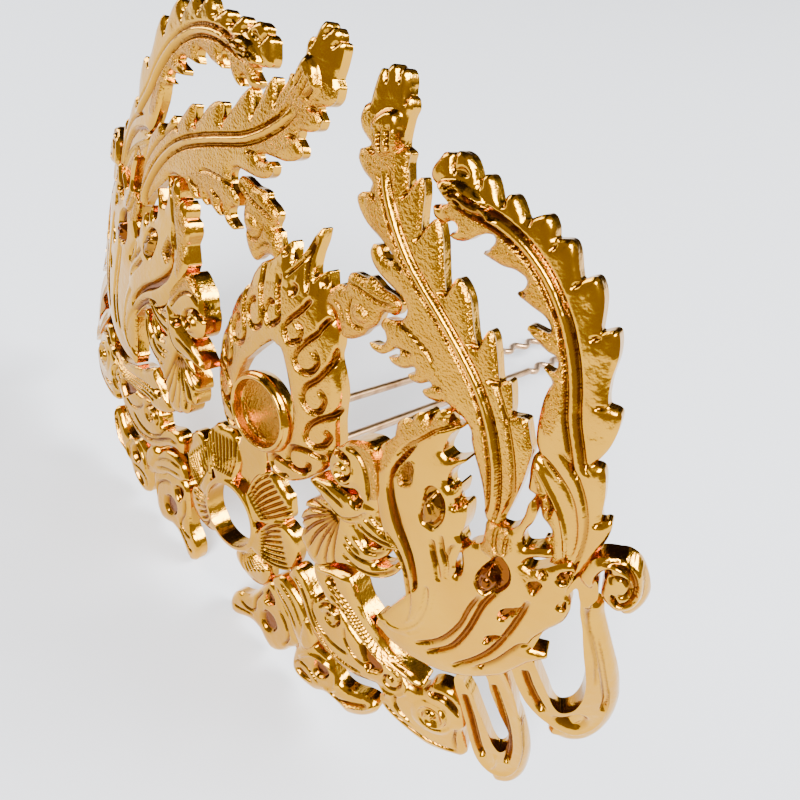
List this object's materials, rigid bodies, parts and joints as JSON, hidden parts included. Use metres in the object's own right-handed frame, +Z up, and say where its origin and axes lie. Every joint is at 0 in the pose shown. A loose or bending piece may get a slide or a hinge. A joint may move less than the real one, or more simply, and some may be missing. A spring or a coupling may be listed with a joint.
{
  "type": "phoenix crown",
  "caption": "Openwork gilt hair crown: two phoenixes beside a pointed medallion with a stone cup, a pierced flower, feather sprays, side loops and a crimped hair fork.",
  "frame": {"origin": "centre of the bounding box on the surface the crown rests on", "axes": "+X to the crown's right in the front view, +Y back along the hair fork, +Z up"},
  "size_m": [0.1274, 0.1211, 0.0964],
  "materials": {
    "gilt_casting": "polished gold plating over a zinc alloy casting, stippled in the grounds",
    "fork_wire": "drawn wire, gold plated"
  },
  "bodies": {
    "root": {"medallion": "gilt_casting", "flower": "gilt_casting", "inner_feather_right": "gilt_casting", "inner_feather_left": "gilt_casting", "middle_feather_right": "gilt_casting", "middle_feather_left": "gilt_casting", "outer_feather_right": "gilt_casting", "outer_feather_left": "gilt_casting", "wing_right": "gilt_casting", "wing_left": "gilt_casting", "head_right": "gilt_casting", "head_left": "gilt_casting", "cloud_band_right": "gilt_casting", "cloud_band_left": "gilt_casting", "small_loop_right": "gilt_casting", "small_loop_left": "gilt_casting", "large_loop_right": "gilt_casting", "large_loop_left": "gilt_casting", "hair_fork": "fork_wire"}
  },
  "joints": []
}
